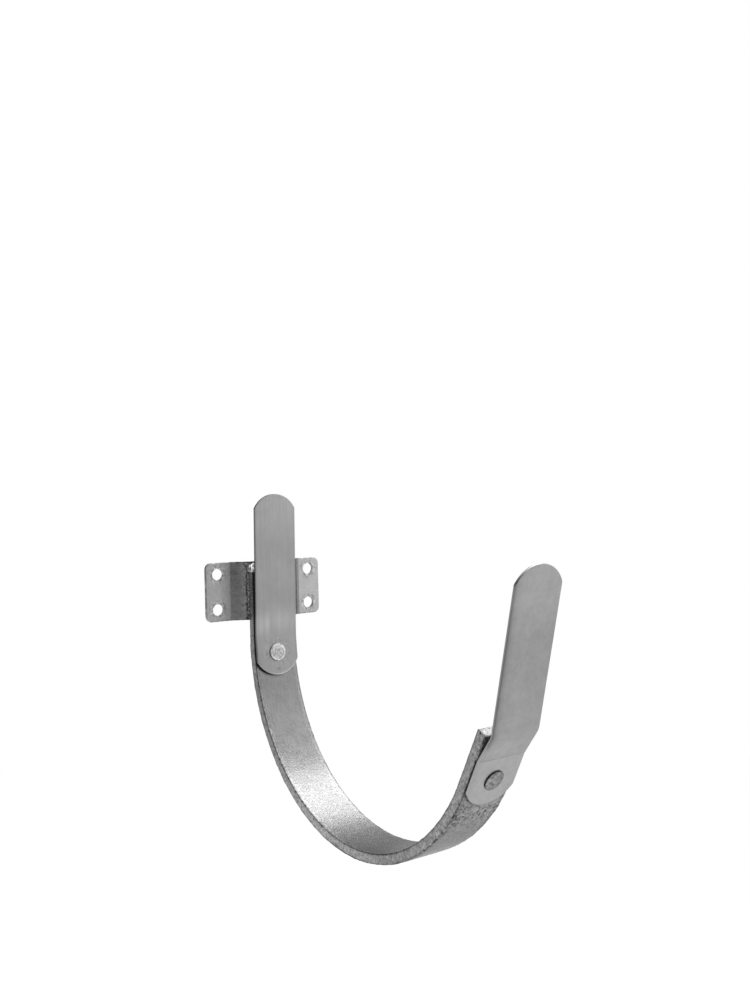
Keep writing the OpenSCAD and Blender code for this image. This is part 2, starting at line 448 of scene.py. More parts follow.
def make_camera():
    """The photograph's view: EYE, and the angles in degrees from looking along +Y."""
    a, e, r = (math.radians(x) for x in (YAW, PITCH, ROLL))
    ahead = Vector((math.sin(a) * math.cos(e), math.cos(a) * math.cos(e), -math.sin(e)))
    level = Vector((math.cos(a), -math.sin(a), 0))
    above = level.cross(ahead)
    right = math.cos(r) * level + math.sin(r) * above
    up = -math.sin(r) * level + math.cos(r) * above
    data = bpy.data.cameras.new("camera")
    data.sensor_fit = "AUTO"
    data.sensor_width = SENSOR
    data.lens = SENSOR * LENS_PX / LONG_SIDE_PX
    data.clip_start, data.clip_end = 0.01, 50
    camera = bpy.data.objects.new("camera", data)
    camera.matrix_world = Matrix((
        (right.x, up.x, -ahead.x, EYE[0]),
        (right.y, up.y, -ahead.y, EYE[1]),
        (right.z, up.z, -ahead.z, EYE[2]),
        (0, 0, 0, 1),
    ))
    bpy.context.scene.collection.objects.link(camera)
    bpy.context.scene.camera = camera


make_camera()


# ---- materials

class Nodes:
    """Short words for building a node tree. A value is a number, a tuple or another node's socket."""

    def __init__(self, tree):
        self.tree = tree
        tree.nodes.clear()

    def add(self, kind, *values, **named):
        """A node with values for its first inputs and others by name. A name after _ is an attribute."""
        node = self.tree.nodes.new(kind)
        for key, value in (*named.items(), *enumerate(values)):
            if str(key).startswith("_"):
                setattr(node, key[1:], value)
            else:
                self.set(node, key, value)
        return node

    def set(self, node, key, value):
        socket = node.inputs[key.replace("_", " ") if isinstance(key, str) else key]
        if isinstance(value, bpy.types.NodeSocket):
            self.tree.links.new(value, socket)
        else:
            socket.default_value = value

    def math(self, operation, *values, clamp=False):
        return self.add("ShaderNodeMath", *values, _operation=operation, _use_clamp=clamp).outputs[0]

    def mul(self, a, b):
        return self.math("MULTIPLY", a, b)

    def mul_add(self, a, b, c, clamp=False):
        return self.math("MULTIPLY_ADD", a, b, c, clamp=clamp)

    def off(self, value):
        """A noise's value, 0 to 1, made to swing about 0."""
        return self.math("SUBTRACT", value, 0.5)

    def vector(self, operation, *values, output="Vector"):
        return self.add("ShaderNodeVectorMath", *values, _operation=operation).outputs[output]

    def parts(self, vector):
        node = self.add("ShaderNodeSeparateXYZ", Vector=vector)
        return node.outputs["X"], node.outputs["Y"], node.outputs["Z"]

    def stored(self, name, output="Fac"):
        """The values that paint or point_values stored on the vertices."""
        return self.add("ShaderNodeAttribute", _attribute_name=name).outputs[output]

    def ramp(self, value, low, high, to_low=0.0, to_high=1.0):
        """Smoothly from to_low at low to to_high at high."""
        node = self.add("ShaderNodeMapRange", _interpolation_type="SMOOTHSTEP", Value=value,
                        From_Min=low, From_Max=high, To_Min=to_low, To_Max=to_high)
        return node.outputs["Result"]

    def noise(self, vector, scale, detail=2.0, rough=0.5, distort=0.0):
        """Noise from 0 to 1 with scale features to the metre."""
        node = self.add("ShaderNodeTexNoise", Vector=vector, Scale=scale, Detail=detail, Roughness=rough,
                        Distortion=distort)
        return node.outputs["Fac"]

    def stretch(self, vector, scale, move=(0, 0, 0)):
        return self.add("ShaderNodeMapping", Vector=vector, Scale=scale, Location=move).outputs["Vector"]

    def grey(self, value):
        return self.add("ShaderNodeCombineColor", value, value, value).outputs[0]

    def bump(self, height, distance, **before):
        """A normal from a height of 0 to 1, distance in metres. Normal=... takes an earlier one."""
        node = self.add("ShaderNodeBump", Strength=1.0, Distance=distance, Height=height, **before)
        return node.outputs["Normal"]

    def mix(self, fac, first, second):
        return self.add("ShaderNodeMixShader", fac, first.outputs[0], second.outputs[0])

    def finish(self, kind, shader):
        """Links a shader node to a new output node."""
        self.tree.links.new(shader.outputs[0], self.add(kind).inputs["Surface"])


EDGE_TINT = (0.5, 0.5, 0.5, 1)    # of the reflections at a grazing view


def new_material(name):
    """A metal material, its nodes, its shader, and the place on the object in metres."""
    material = bpy.data.materials.new(name)
    material.use_nodes = True
    n = Nodes(material.node_tree)
    shader = n.add("ShaderNodeBsdfPrincipled", Metallic=1.0, Specular_Tint=EDGE_TINT)
    n.finish("ShaderNodeOutputMaterial", shader)
    return material, n, shader, n.add("ShaderNodeTexCoord").outputs["Object"]


def toned(n, value, edge_tone):
    """A tone times edge_tone where "rim" is 1, and times 1 + "shade"."""
    value = n.mul(value, n.mul_add(n.stored("rim"), edge_tone - 1.0, 1.0))
    # "shade" holds painted shade and painted highlights, along with real marks and mottling
    return n.grey(n.math("MULTIPLY", value, n.math("ADD", n.stored("shade"), 1.0), clamp=True))


def zinc(name, tone, spread, rough, peel, lumps, seed, side_tone=1.0, coarse_rough=0.12, matt=0.4,
         sparkle=0.0):
    """Hot-dip zinc: clouded tone, orange peel and specks.

    tone is its grey and spread how far that varies. peel, lumps and sparkle are heights of its relief in
    metres. Where "coarse" is 1 it is gritty, rougher by coarse_rough and less metallic by matt. side_tone
    scales the tone on the cut edges, and "shade" adds its own share.
    """
    material, n, shader, place = new_material(name)
    coarse = n.stored("coarse")
    at = n.stretch(place, (1, 1, 1), (seed, 2 * seed, -seed))
    clouds = n.noise(at, 120, 4, 0.6)
    patches = n.noise(at, 420, 3, 0.6, 0.4)
    fine = n.noise(at, 1500, 2, 0.6)
    grit = n.noise(at, 1300, 3, 0.75)
    scale = n.noise(at, 560, 3, 0.65, 0.8)
    blotch = n.noise(at, 610, 2, 0.5, 0.5)
    vein = n.ramp(n.math("ABSOLUTE", n.off(n.noise(at, 300, 2, 0.55, 0.8))), 0.0, 0.03, 1.0, 0.0)
    specks = n.ramp(n.noise(at, 900, 2, 0.7), 0.30, 0.22)
    pits = n.mul(n.ramp(n.noise(at, 640, 2, 0.6, 0.5), 0.38, 0.30), coarse)

    value = n.mul_add(n.off(clouds), spread * 0.8, tone)
    mottle = n.mul_add(n.off(fine), 0.5, n.off(patches))
    value = n.mul_add(mottle, n.mul(n.math("ADD", coarse, 0.15), spread), value)
    rugged = n.math("ADD", n.off(grit), n.mul(n.off(scale), 2.4))
    rugged = n.mul_add(n.off(blotch), 2.6, rugged)
    rugged = n.mul_add(vein, -0.45, rugged)
    value = n.math("ADD", value, n.mul(rugged, n.mul(coarse, tone)))
    value = n.mul(value, n.mul_add(n.math("MAXIMUM", specks, pits), -0.45, 1.0))
    n.set(shader, "Base_Color", toned(n, value, side_tone))
    n.set(shader, "Metallic", n.mul_add(coarse, -matt, 1.0, clamp=True))
    dull = n.mul_add(coarse, coarse_rough, rough)
    n.set(shader, "Roughness", n.mul_add(n.off(patches), 0.25, dull, clamp=True))

    normal = n.bump(n.noise(at, 260, 3, 0.55), lumps)
    normal = n.bump(n.noise(at, 1400, 2, 0.55), peel, Normal=normal)
    normal = n.bump(n.mul(grit, coarse), 0.00016, Normal=normal)
    if sparkle:
        normal = n.bump(n.ramp(n.noise(at, 1900, 1, 0.5), 0.58, 0.72), sparkle, Normal=normal)
    n.set(shader, "Normal", normal)
    return material


def brushed(name, tone, rough, seed, edge_tone, streaks, blotches=0.0):
    """Brushed strip, grain along its length, with sheared edges whose tone edge_tone scales."""
    material, n, shader, place = new_material(name)
    flat = n.stored("flat", "Vector")
    grain = n.noise(n.stretch(flat, (1, 0.02, 1), (seed, 0, 0)), 3800, 3, 0.7)
    bands = n.noise(n.stretch(flat, (1, 0.035, 1), (seed, seed, 0)), 620, 3, 0.6)
    clouds = n.noise(place, 90, 3, 0.55)
    spots = n.ramp(n.noise(place, 700, 2, 0.6), 0.30, 0.20)
    value = n.mul_add(n.off(grain), streaks, tone)
    value = n.mul_add(n.off(bands), streaks, value)
    value = n.mul_add(n.off(clouds), 0.09, value)
    value = n.mul_add(spots, -0.05, value)
    value = n.mul_add(n.off(n.noise(place, 380, 3, 0.6, 0.4)), blotches, value)
    n.set(shader, "Base_Color", toned(n, value, edge_tone))
    n.set(shader, "Roughness", n.mul_add(n.off(bands), 0.20, rough, clamp=True))
    normal = n.bump(grain, 0.00002)
    normal = n.bump(n.noise(place, 300, 2, 0.5), 0.00004, Normal=normal)
    n.set(shader, "Normal", normal)
    return material


MAT_BAR = zinc("dipped_bar", tone=0.275, spread=0.12, rough=0.21, peel=0.00013, lumps=0.00005, seed=0.3,
               side_tone=1.2, coarse_rough=0.20, sparkle=0.00005)
MAT_SHEET = zinc("dipped_sheet", tone=0.43, spread=0.13, rough=0.30, peel=0.00005, lumps=0.00012, seed=1.7)
# edge_tone: the rear strip's dull edges darkened more as painted shade, the front strip's lightened as a
# painted highlight
MAT_STRIP = brushed("brushed_strip", tone=0.36, rough=0.34, seed=0.9, edge_tone=0.45, streaks=0.11)
MAT_STRIP_FRONT = brushed("brushed_strip_front", tone=0.34, rough=0.34, seed=2.3, edge_tone=1.3,
                          streaks=0.03, blotches=0.10)
# side_tone 1.3 lightens the ring on the rivet domes, a painted highlight
MAT_RIVET = zinc("rivet_steel", tone=0.53, spread=0.20, rough=0.34, peel=0.00016, lumps=0.0003, seed=4.1,
                 side_tone=1.3, matt=1.4)
MAT_RIVET_FRONT = zinc("rivet_steel_front", tone=0.27, spread=0.14, rough=0.34, peel=0.00012, lumps=0.0003,
                       seed=5.2)
MAT_SEAM = zinc("zinc_seam", tone=0.22, spread=0.22, rough=0.24, peel=0.00012, lumps=0.0003, seed=2.9,
                coarse_rough=0.0, matt=0.2)
# a near white tone, raised as a painted highlight for the bead's glints
MAT_WELD = zinc("weld_metal", tone=0.90, spread=0.20, rough=0.18, peel=0.00012, lumps=0.0005, seed=6.3,
                coarse_rough=0.0, matt=0.7)


def dress(piece, material, slot, *nodes):
    """Gives a piece its material and says what it rides on and the nodes that it stands for. slot is not
    used.
    """
    piece.data.materials.clear()
    piece.data.materials.append(material)
    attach(piece, "root")
    if nodes:
        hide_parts(*nodes)


# ---- strap

def make_bar():
    fold = Fold(BAR_T, [("run", UPRIGHT), ("bend", BED_R, -BED_ANGLE), ("run", FRONT_RUN)],
                start=(BED_R, UPRIGHT), heading=180)
    step, edge_r, clear, end_points = 0.75, 0.5, 1.3, 31
    stations = fold.stations(step, turn_step=0.6)
    half = BAR_W / 2

    def place(u, s, d):
        return across(u, in_bed(fold.place(s, d)))

    columns = list(np.linspace(half - clear, -half + clear, end_points))
    right = [(half, s) for s in stations if clear < s < fold.length - clear]
    left = [(-half, s) for _, s in reversed(right)]
    outline = [(half, 0), *right, (half, fold.length), *[(c, fold.length) for c in columns]]
    outline += [(-half, fold.length), *left, (-half, 0), *[(c, 0) for c in columns[::-1]]]
    return sheet_piece("bar", BAR_T, edge_r, outline, [], stations, place, step)


def bed_turn(s):
    """How far round the bed, in degrees from its rear end, a place along the bar is."""
    return math.degrees((s - UPRIGHT) / MIDDLE_R)


def is_inner(d):
    """1 on the bar's inner face, where the gutter lies."""
    return float(d < SKIN)


def is_outer(d):
    return float(d > BAR_T - SKIN)


def bar_coarse(x, y, z, u, s, d):
    """Where the zinc lies rough on the bar: its narrow sides, its cut ends, and below the front tongue."""
    outer = is_outer(d)
    side = float(abs(u) > BAR_W / 2 - SKIN)
    end = float(s > BAR_LENGTH - SKIN or s < SKIN)
    foot = near(s, FRONT_FOOT_S - 9, 11) * outer
    tip = outer * clip((s - BAR_LENGTH + 16) / 5)
    inner = 0.14 * clip((bed_turn(s) - 28) / 14) * is_inner(d)
    edge = max(0.0, (abs(u) - BAR_W / 2 + 3.5) / 3.5) * outer * near(s, BAR_LENGTH - 90, 60)
    return min(1.0, 0.62 * side + 0.7 * end + 0.8 * foot + 0.9 * tip + 0.5 * edge + 0.2 * outer + inner)


def bar_skin(x, y, z, u, s, d):
    """Smooth skin on the bed's inner face, lumps and runs where the zinc drained."""
    rough = bar_coarse(x, y, z, u, s, d)
    lump = max(0.0, wave(x, y, z, 3.2, 3.1)) + 0.6 * max(0.0, wave(x, y, z, 1.7, 9.4))
    swell = 0.02 * wave(x, y, z, 11, 1.3) + 0.012 * wave(x, y, z, 3.5, 7.7)
    drained = near(s, BAR_LENGTH - 68, 40) * is_outer(d)
    beside_edge = near(abs(u), BAR_W / 2 - 1.9 + 0.5 * wave(s, 0, 0, 5, 2.0), 0.6)
    furrow = beside_edge * max(0.0, 0.5 + wave(x, y, z, 6, 4.4))
    return -0.04 + swell + rough * (0.34 * lump - 0.22) - 0.30 * drained * furrow


def footprint(length):
    """A tongue's rounded foot in its own flat pattern, far enough up to shade the bar beside it."""
    half, r = TONGUE_W / 2, TONGUE_END_R
    wide = math.asin(half / r)
    arc = [(r * math.sin(a), r - r * math.cos(a)) for a in np.linspace(-wide, wide, 25)]
    return np.array(arc + [(half, length), (-half, length)])


NO_TONGUE = 99.0


def tongue_gaps(piece):
    """Each vertex's distance to the foot of the tongue that lies on its face, or NO_TONGUE."""
    field = np.zeros(3 * len(piece.data.vertices), np.float32)
    piece.data.attributes["flat"].data.foreach_get("vector", field)
    u, s, d = (field.reshape(-1, 3) / MM).T
    out = np.full(len(u), NO_TONGUE)
    shaded_below = 6
    rear_foot = (d < SKIN, REAR_FOOT_S - s, footprint(REAR_FOOT_S))
    front_foot = (d > BAR_T - SKIN, s - FRONT_FOOT_S, footprint(40.0))
    for on_face, up, foot in (rear_foot, front_foot):
        here = on_face & (up > -shaded_below)
        at = np.column_stack([u, up])[here]
        out[here] = np.where(inside(at, foot), 0.0, clearance(at, foot))
    return out


def painted_edge_shade(x, y, z, u, s, d):
    """Painted shade: a thin dark line on the bar's rounded long edges, softer past the bed's lowest point."""
    run = clip((bed_turn(s) - 105) / 15)
    outer_half = d > BAR_T / 2
    face = max(near(d, 0, 0.6 + 0.3 * run), near(d, BAR_T, 0.75))
    ragged = min(1.0, 0.8 + (0.7 if run or outer_half else 0.2) * wave(x, y, z, 2.1, 6.2))
    return (0.90 - 0.13 * max(run, outer_half)) * near(abs(u), BAR_W / 2, 0.5) * face * ragged


def tongue_gap_shade(x, y, z, u, s, d, gap):
    """Painted shadow in the gap beside a tongue, strongest on the left."""
    if is_outer(d):
        under_tongue = s < BAR_LENGTH - 14
        gap_shadow = 0.95 * near(gap, 0.1, 0.7) * under_tongue * max(0.3, 0.8 + wave(x, y, z, 2.5, 0.7))
    else:
        gap_shadow = 0.9 * near(gap, 0.2, 0.75)
    return gap_shadow * clip((6 - u) / 14)


def drain_marks(x, y, z, u, s, d):
    """The furrow that draining zinc left along the outer face's edges, and scabs below the front tongue."""
    below = near(s, FRONT_FOOT_S - 34, 34)
    beside_edge = near(abs(u), BAR_W / 2 - 1.4 + 0.9 * wave(s, 0, 0, 6, 2.0), 0.7)
    furrow = 0.55 * below * beside_edge * clip(0.75 + wave(x, y, z, 5, 4.4))
    flaw = max(0.0, 1 - 5 * abs(wave(x, y, z, 2.6, 5.5)))
    scab = 1.2 * near(s, FRONT_FOOT_S - 7, 9) * near(u, -BAR_W / 2 + 4, 6) * flaw
    return furrow + scab


def bar_shade(x, y, z, u, s, d, gap):
    """Painted shade and highlights on the bar's faces and edges, and the drained zinc on its outer face."""
    turn = bed_turn(s)
    inner, on_left = is_inner(d), u < 1 - BAR_W / 2
    # painted highlight just inside the inner face's edges, painted dark line low on the left outer edge
    glint = 0.22 * near(abs(u), BAR_W / 2 - 1.6, 0.9) * inner * near(turn, 40, 40)
    contour_shade = 1.4 * near(turn, 83, 10) * near(d, BAR_T, 0.9) * on_left * min(1.0, 1 + wave(x, y, z, 3.1, 2.2))
    # painted darker and lighter bands along the bed and its edges, where its reflections differ
    painted_bands = (0.28 * near(turn, 103, 12) - 0.08 * near(turn, 30, 14)) * inner
    if abs(u) > BAR_W / 2 - 0.4:
        painted_bands -= (0.34 * near(turn, 70, 14) + 0.14 * near(turn, 92, 12)
                - 0.16 * near(turn, 18, 18) - 0.14 * near(turn, 113, 12))
    # painted shade on the upright's left side, darker towards its back and by the plate
    upright = clip((REAR_FOOT_S - s) / 20)
    upright_side_shade = (0.16 * upright * min(1.0, d / BAR_T) + 0.10 * near(z, 0, 14) * min(1.0, d / 4)) * on_left
    dark = painted_edge_shade(x, y, z, u, s, d) + tongue_gap_shade(x, y, z, u, s, d, gap) + upright_side_shade + painted_bands + contour_shade - glint
    if is_outer(d):
        dark += drain_marks(x, y, z, u, s, d)
    return -min(0.92, dark)


bar = make_bar()
paint(bar, "coarse", bar_coarse)
displace(bar, bar_skin)
paint(bar, "shade", bar_shade, tongue_gaps(bar))
dress(bar, MAT_BAR, "dipped_bar", "strap")


# ---- wall plate

def plate_fold(flange):
    """One half of the folded sheet, from the middle of its crown to the end of its flange."""
    return Fold(PLATE_T, [("run", BAR_W / 2), ("bend", PLATE_BEND_R, -WEB_ANGLE), ("run", WEB_RUN),
                          ("bend", PLATE_BEND_R, WEB_ANGLE), ("run", flange)])


def plate_outline(half_length, us, step):
    """The flat pattern (u, z), counter-clockwise from the right-hand end's upper corner, corners rounded."""
    r, h = PLATE_CORNER_R, PLATE_H / 2
    cx, cz = half_length - r, h - r
    middle = us[np.abs(us) < cx - 0.2]
    zs = np.arange(-cz + step, cz - step / 2, step)
    top = [(u, h) for u in (cx, *middle[::-1])]
    left = [(-half_length, z) for z in (cz, *zs[::-1])]
    bottom = [(u, -h) for u in (-cx, *middle)]
    right = [(half_length, z) for z in (-cz, *zs)]
    outline = []
    for sx, sz, side in ((1, 1, top), (-1, 1, left), (-1, -1, bottom), (1, -1, right)):
        for a in np.radians(range(0, 90, 9)):
            du, dz = r * math.cos(a), r * math.sin(a)
            if sx != sz:
                du, dz = dz, du
            outline.append((sx * (cx + du), sz * (cz + dz)))
        outline += side
    return outline


def make_plate():
    short = plate_fold(1.0)
    reach = short.place(np.array([short.length]), np.array([0.0]))[0, 1]
    half_length = short.length + PLATE_W / 2 - reach
    fold = plate_fold(1.0 + PLATE_W / 2 - reach)
    step, edge_r, hole_points = 0.6, 0.6, 44
    us = fold.stations(step, turn_step=7)
    us = np.unique(np.round(np.concatenate([-us, us]), 6))

    hole_u, rad = half_length - (PLATE_W - HOLE_DX) / 2, HOLE_D / 2
    turns = [-2 * math.pi * k / hole_points for k in range(hole_points)]
    holes = [[(sx * hole_u + rad * math.cos(a), sz * HOLE_DZ / 2 + rad * math.sin(a)) for a in turns]
             for sx in (-1, 1) for sz in (-1, 1)]

    def swap(loop):
        """Height first, then length, which the helper's stations run along."""
        return [(v, u) for u, v in loop][::-1]

    def place(v, u, d):
        side = fold.place(np.abs(u), d)
        return np.column_stack([np.sign(u) * side[:, 1], side[:, 0] - CROWN_RISE, v])

    return sheet_piece("plate", PLATE_T, edge_r, swap(plate_outline(half_length, us, step)),
                       [swap(hole) for hole in holes], us, place, step, hole_r=0.2)


def hole_distance(x, z):
    """Distance to the nearest wall hole's middle."""
    return math.hypot(abs(x) - HOLE_DX / 2, abs(z) - HOLE_DZ / 2)


def plate_coarse(x, y, z, u, s, d):
    """Where the zinc lies rough: round the holes, beside the bar's seam and the weld, on the cut edges."""
    front = d > PLATE_T / 2
    hole = hole_distance(x, z) - HOLE_D / 2
    holes = (1.0 if front or hole < 0.1 else 0.45) * near(max(0.0, hole), 0, 2.0)
    welded = 0.16
    if front:
        seam = near(max(0.0, abs(x) - BAR_W / 2), 0, 3.2) * (abs(x) > BAR_W / 2 - 1)
        welded = seam + 0.6 * near(z, PLATE_H / 2, 3.0) * near(abs(x), BAR_W / 2, 7)
    rims = 0.5 if abs(z) > PLATE_H / 2 - 0.7 else 0.0
    return min(1.0, holes + welded + rims)


def plate_shade(x, y, z, u, s, d):
    """Painted shade on the webs, crown and cut edges, painted light on the right flange, a dark line along
    the crown's fold.
    """
    # painted shade on the cut edges, for the dark that their rounding reflects
    cut = near(abs(x), PLATE_W / 2, 0.55) * clip(0.7 + 1.4 * wave(z, 0, x, 2.3, 8.8))
    if d < PLATE_T / 2:
        return -0.5 * cut
    out = abs(x) - BAR_W / 2
    on_left = x < 0
    # painted shade on the webs and crown, painted light on the right flange, a darker band on the left flange
    if out < WEB_RUN + (0.8 if on_left else 1.9):
        web, tone = 1.0, -0.36 if on_left else -0.40
    else:
        web, tone = 0.0, 0.05 - 0.31 * near(out, WEB_RUN + 1, 7) if on_left else 0.12
    fold = near(out, 1.2, 0.6) * clip(0.7 + 1.6 * wave(z, 0, x, 1.6, 3.9))
    edge = near(PLATE_H / 2 + z, 0, 0.7) + near(PLATE_H / 2 - z, 0, 0.5) * web
    ragged = clip(0.65 + 1.5 * wave(x, 0, z, 2.6, 1.1), 0.25)
    blot = 0.5 * near(hole_distance(x, z), HOLE_D / 2 + 1.2, 1.2) * wave(x, y, z, 1.3, 4.7)
    return max(-0.9, tone - 0.75 * fold - 0.7 * min(1.0, edge) * ragged - 0.5 * cut + blot)


def plate_skin(x, y, z, u, s, d):
    """Slight waves, and grit where the zinc lies rough."""
    grit = plate_coarse(x, y, z, u, s, d) * (0.16 * wave(x, y, z, 1.9, 2.2) - 0.05)
    return -0.03 + 0.02 * wave(x, y, z, 10, 5.2) + grit


plate = make_plate()
paint(plate, "coarse", plate_coarse)
paint(plate, "shade", plate_shade)
displace(plate, plate_skin)
dress(plate, MAT_SHEET, "dipped_sheet", "wall_plate")


# ---- tongues

def tongue_outline(fold, stations):
    """Rounded ends, straight sides: the flat pattern of a tongue."""
    half, r = TONGUE_W / 2, TONGUE_END_R
    deep = r - math.sqrt(r * r - half * half) + 0.3
    wide = math.degrees(math.asin(half / r))
    arc = np.radians(np.linspace(-wide, wide, 31))
    right = [(half, s) for s in stations if deep < s < fold.length - deep]
    low = [(r * math.sin(a), r - r * math.cos(a)) for a in arc]
    high = [(-r * math.sin(a), fold.length - r + r * math.cos(a)) for a in arc]
    return low + right + high + [(-u, s) for u, s in reversed(right)]


def make_tongue(name, steps, origin, turned, wanted=()):
    fold = Fold(TONGUE_T, steps, start=origin)
    stations = fold.stations(step=1.2, turn_step=3)

    def place(u, s, d):
        return across(u, in_bed(fold.place(s, d), turned))

    return sheet_piece(name, TONGUE_T, TONGUE_EDGE_R, tongue_outline(fold, stations), [], stations, place,
                       wanted=wanted)


REAR_STEPS = [("run", REAR_LOWER), ("bend", REAR_BEND_R, REAR_RIVET_ANGLE + REAR_LEAN), ("run", REAR_UPPER)]
FRONT_STEPS = [("run", FRONT_LOWER), ("bend", CREASE_R, CREASE_ANGLE), ("run", JOGGLE_RUN),
               ("bend", FRONT_BEND_R, FRONT_LEAN - RUN_LEAN - CREASE_ANGLE), ("run", FRONT_UPPER)]
DIMPLE = (-0.5, 3.7)
DIMPLE_POINTS = [DIMPLE] + [(DIMPLE[0] + r * math.cos(a), DIMPLE[1] + r * math.sin(a))
                            for r in (0.25, 0.5, 0.75, 1.0, 1.3) for a in np.radians(np.arange(0, 360, 30))]
TONGUE_BACK = TONGUE_T / 2 - 0.3    # nearer the back than this there is no paint


def rear_skin(x, y, z, u, s, d):
    """Slight waves, and a centre punch's dimple below the rivet."""
    mark = near(math.hypot(u - DIMPLE[0], s - DIMPLE[1]), 0, 0.9) if d > TONGUE_T / 2 else 0.0
    return -0.015 + 0.012 * wave(x, y, z, 14, 8.8) - 0.09 * mark


def front_skin(x, y, z, u, s, d):
    """Slight waves, and the press tool's line in the crease."""
    line = near(s, FRONT_LOWER, 0.35) if d > TONGUE_T / 2 else 0.0
    return -0.015 + 0.012 * wave(x, y, z, 14, 12.4) - 0.06 * line


def rear_shade(x, y, z, u, s, d):
    """A lighter top, a streaked painted highlight above the rivet, rubbed metal round it, a painted lower rim
    glint.
    """
    if d < TONGUE_BACK:
        return 0.0
    top = 0.12 * clip((s - 82) / 15)
    # painted highlight where the strip bends above the rivet
    bend_highlight = 0.24 * near(s, 33, 7.5) * (1 + 0.9 * wave(u, 0.02 * s, 0, 1.3, 7.3))
    rubbed = 0.35 * near(math.hypot(u, s - REAR_TAIL), 8.0, 2.6) * wave(x, y, z, 1.5, 8.1)
    # painted highlight along the lower rim
    rim = near(s - TONGUE_END_R + math.sqrt(max(0.0, TONGUE_END_R ** 2 - u * u)), 0, 0.45)
    rim_highlight = 1.3 * rim * clip((u + 9) / 8)
    # painted shade in the dimple and along both sides, more on the left
    dot = -0.22 * near(math.hypot((u - DIMPLE[0]) / 1.5, (s - DIMPLE[1]) / 0.8), 0, 1)
    sides = -0.15 * near(u, TONGUE_W / 2, 0.8) - 0.25 * near(u, -TONGUE_W / 2, 0.8)
    return top + bend_highlight + rubbed + rim_highlight + dot + sides


def front_shade(x, y, z, u, s, d):
    """Painted shade on the left border, a lighter top, and a lighter foot, a painted reflection of the floor.
    """
    if d < TONGUE_BACK:
        return 0.0
    border = u + TONGUE_W / 2
    # painted shade along the left border
    left_border_shade = 0.35 * near(border, 0, 0.7) + 0.2 * near(border, 0, 3.2)
    left_border_shade *= clip((s - FRONT_LOWER - 4) / 8, 0.25)
    # painted reflection of the floor on the foot
    foot = 0.13 * clip((FRONT_LOWER + 16 - s) / 8)
    return 0.20 * clip((s - 90) / 20) + foot - left_border_shade


rear = make_tongue("rear_strip", REAR_STEPS, (REAR_SEAT, -REAR_TAIL), -REAR_RIVET_ANGLE, DIMPLE_POINTS)
front = make_tongue("front_strip", FRONT_STEPS, (-BACK_R, -FRONT_TAIL), RUN_LEAN)
paint(rear, "shade", rear_shade)
paint(front, "shade", front_shade)
displace(rear, rear_skin)
displace(front, front_skin)
dress(rear, MAT_STRIP, "brushed_strip", "rear_tongue")
dress(front, MAT_STRIP_FRONT, "brushed_strip", "front_tongue")


# ---- rivets

SPOKES = 72
DOME_STEPS = 24


def make_rivet(node, end, spot, head_d, head_h, seed, material=MAT_RIVET, tilt=0.0, flat=0.0, coarse=0.30,
               shaded=1.0, marks=0.4):
    """A formed head: upright rim, shallow dome with a pressed ring. spot is its centre and outward axis.

    tilt lowers the side that lies to +X and below, as a hammer blow off the axis does. flat lowers the crown.
    The rim is painted darker on its shaded side, to -X, and below or (negative) above. marks is the strength
    of the mottling.
    """
    centre, z_axis = Vector(spot[0]), Vector(spot[1]).normalized()
    x_axis = Vector((1, 0, 0))
    y_axis = z_axis.cross(x_axis)
    if y_axis.z < 0:
        y_axis = -y_axis
    rad, rim = head_d / 2, HEAD_RIM
    cap, shoulder = head_h - rim, rad - 0.3
    ball = (rad * rad + cap * cap) / (2 * cap)
    profile = [(rad - 0.25, 0.0), (rad - 0.05, 0.15), (rad, 0.3), (rad, rim * 0.7), (rad - 0.08, rim * 0.9),
               (shoulder, rim)]
    for k in range(1, DOME_STEPS):
        rr = shoulder * (1 - k / DOME_STEPS)
        profile.append((rr, rim + math.sqrt(ball ** 2 - rr ** 2) - (ball - cap)))

    points, ring, dark = [], [], []
    for rr, zz in profile + [(0.0, head_h)]:
        for k in range(SPOKES if rr else 1):
            a = 2 * math.pi * k / SPOKES
            side, up = rr * math.cos(a), rr * math.sin(a)
            lower = tilt * max(0.0, (side - up) / rad + 0.6) * zz / head_h
            points.append(tuple(centre + x_axis * side + y_axis * up + z_axis * (zz - lower)))
            # a ring on the dome, which the rivet material's side_tone lightens as a painted highlight
            ring.append(near(rr / rad, 0.84, 0.09))
            # painted shade on the rim's shaded side
            dark.append(-0.75 * near(rr / rad, 1.0, 0.05) * clip(0.6 - (side + shaded * up) / rad))
    points.append(tuple(centre))
    ring.append(0.0)
    dark.append(0.0)

    rings = len(profile)
    faces = tube_faces(rings, SPOKES)[:-2]
    last, top, base = (rings - 1) * SPOKES, len(points) - 2, len(points) - 1
    for k in range(SPOKES):
        faces.append((last + k, last + (k + 1) % SPOKES, top))
        faces.append((base, (k + 1) % SPOKES, k))
    piece = make_mesh(f"{node}_{end}", points, faces)

    def hammered(x, y, z, u, s, d):
        from_axis = (Vector((x, y, z)) - centre).cross(z_axis).length
        dent = near(from_axis, 0.62 * rad, 0.5) + 0.4 * near(from_axis, 0.2 * rad, 0.7)
        crown = max(0.0, 1 - (from_axis / rad) ** 2)
        blows = 0.05 * wave(x, y, z, 2.4, seed) + 0.05 * wave(x, y, z, 1.1, seed + 3)
        return -0.06 + blows - 0.10 * dent - flat * crown

    displace(piece, hammered)
    mottle = [clip(2.2 * wave(*(v.co / MM), 1.3, seed + 6), -1.0, 0.8) for v in piece.data.vertices]
    point_values(piece, "coarse", [coarse] * len(points))
    point_values(piece, "rim", ring)
    point_values(piece, "shade", [a + 0.35 * marks * b for a, b in zip(dark, mottle)])
    dress(piece, material, "rivet_steel", node)


